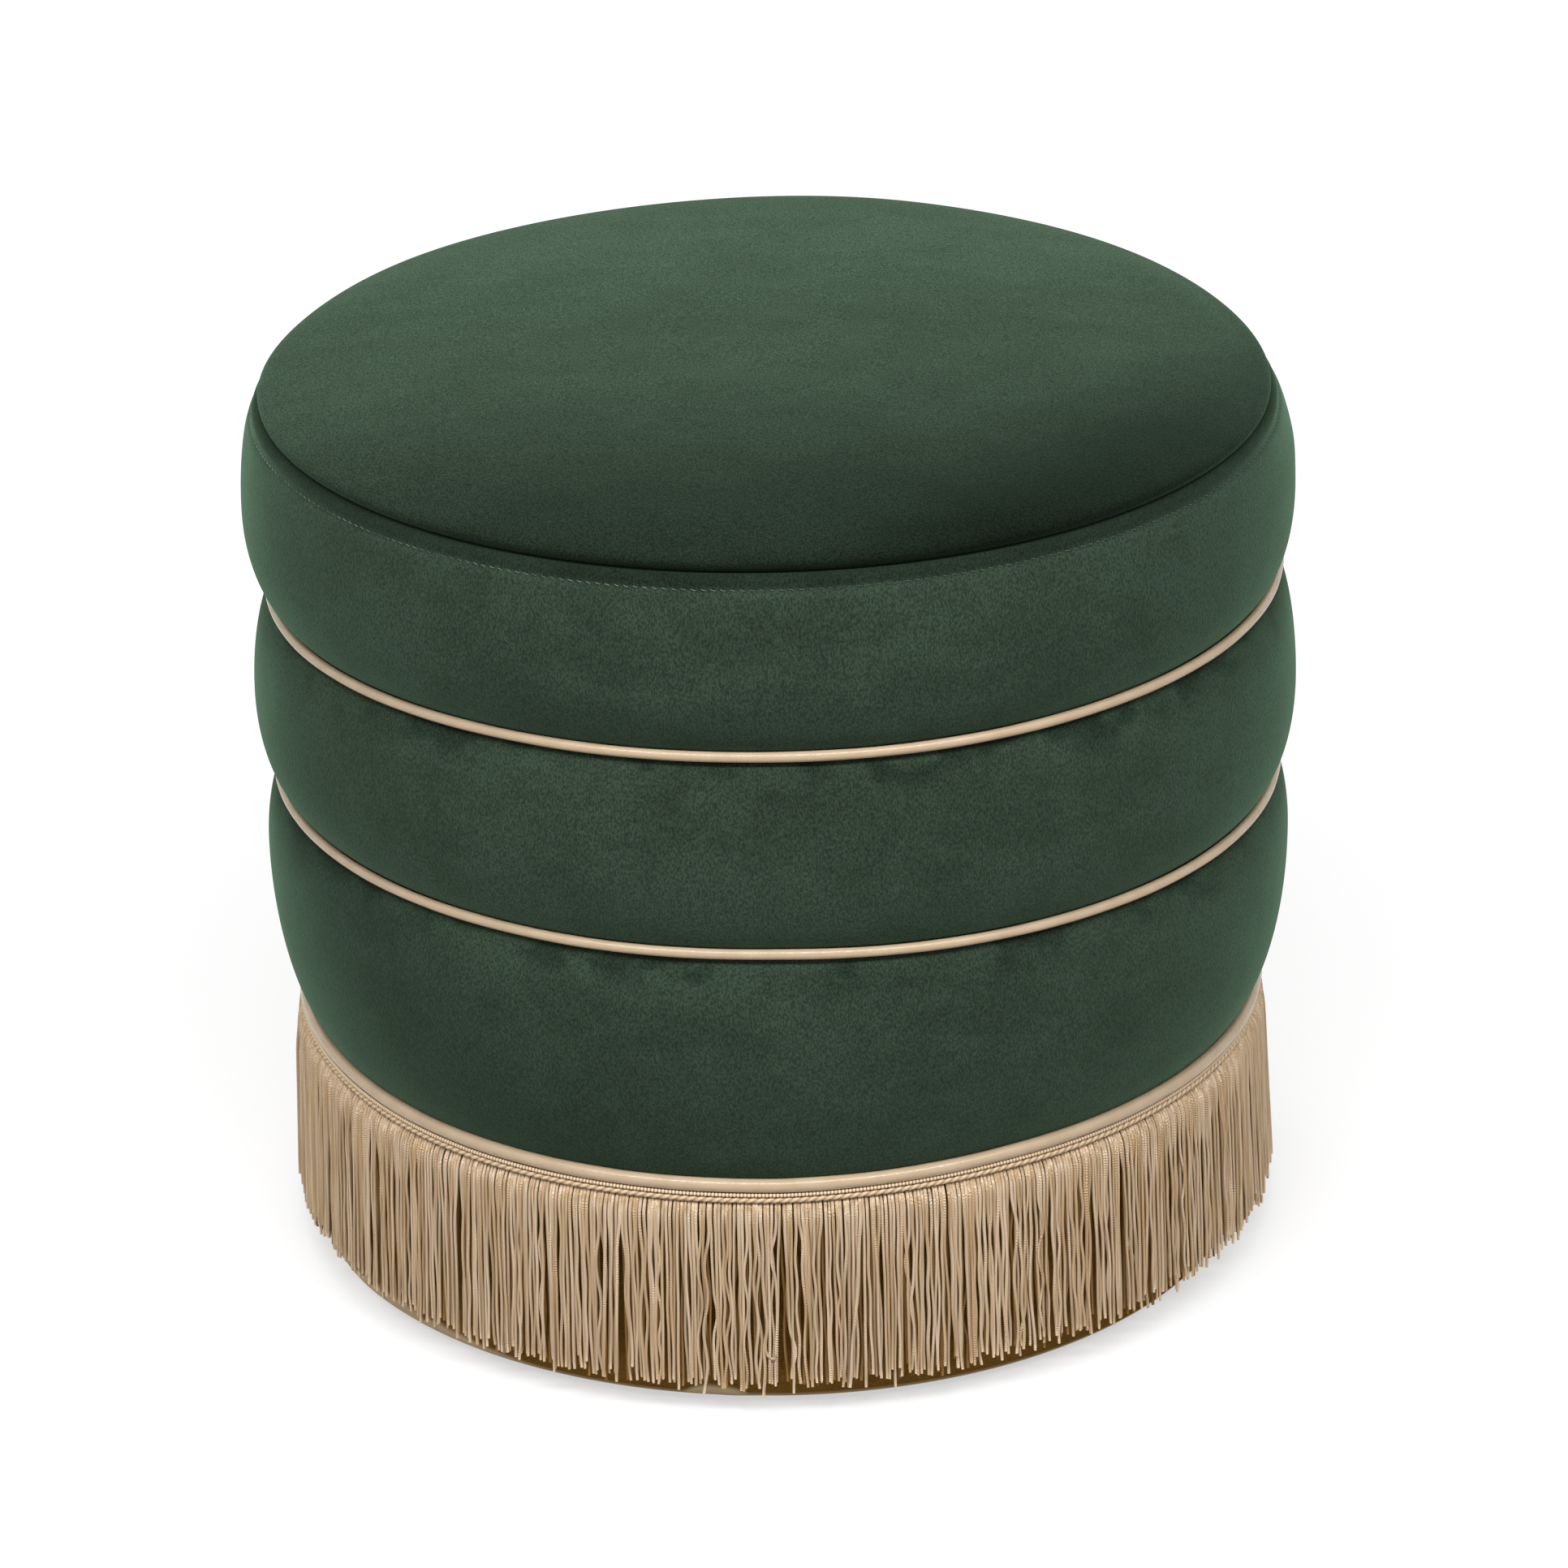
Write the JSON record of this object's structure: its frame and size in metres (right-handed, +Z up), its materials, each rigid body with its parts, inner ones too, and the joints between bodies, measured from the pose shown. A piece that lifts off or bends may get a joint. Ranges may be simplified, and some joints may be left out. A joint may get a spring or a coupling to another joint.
{
  "type": "ottoman",
  "caption": "Round upholstered ottoman in stacked velvet tiers with piped seams, a domed sewn top and a long cord fringe over a cloth-covered plinth; a seat or footrest.",
  "frame": {"origin": "centre of the round foot, at floor level", "axes": "+Z is up along the axis of the drum; the piece is round, so X and Y are free"},
  "size_m": [0.45, 0.45, 0.407],
  "materials": {
    "plywood": "matte",
    "timber": "matte",
    "hardboard": "matte",
    "fastener_steel": "satin",
    "foam": "matte",
    "wadding": "matte",
    "velvet": "matte",
    "piping_leather": "satin",
    "filler_cord": "matte",
    "plinth_cloth": "matte",
    "fringe_cord": "matte",
    "braid": "matte",
    "dust_cloth": "matte",
    "glide_plastic": "matte"
  },
  "bodies": {
    "root": {"base_board": "plywood", "seat_board": "plywood", "lower_hoop": "plywood", "upper_hoop": "plywood", "frame_post_1": "timber", "frame_post_2": "timber", "frame_post_3": "timber", "frame_post_4": "timber", "frame_post_5": "timber", "frame_post_6": "timber", "drum_wall": "hardboard", "seat_board_screws": "fastener_steel", "base_board_screws": "fastener_steel", "hoop_screws": "fastener_steel", "glide_nails": "fastener_steel", "seat_foam": "foam", "plinth_foam": "foam", "lower_foam_roll": "foam", "middle_foam_roll": "foam", "upper_foam_roll": "foam", "seat_wadding": "wadding", "top_panel": "velvet", "lower_band": "velvet", "middle_band": "velvet", "upper_band": "velvet", "lower_piping": "piping_leather", "middle_piping": "piping_leather", "upper_piping": "piping_leather", "lower_piping_cord": "filler_cord", "middle_piping_cord": "filler_cord", "upper_piping_cord": "filler_cord", "plinth_lining": "plinth_cloth", "fringe_panel_1": "fringe_cord", "fringe_panel_2": "fringe_cord", "fringe_panel_3": "fringe_cord", "fringe_panel_4": "fringe_cord", "fringe_panel_5": "fringe_cord", "fringe_panel_6": "fringe_cord", "fringe_panel_7": "fringe_cord", "fringe_panel_8": "fringe_cord", "fringe_panel_9": "fringe_cord", "fringe_panel_10": "fringe_cord", "fringe_panel_11": "fringe_cord", "fringe_panel_12": "fringe_cord", "fringe_braid": "braid", "dust_cloth": "dust_cloth", "floor_glides": "glide_plastic"}
  },
  "joints": []
}
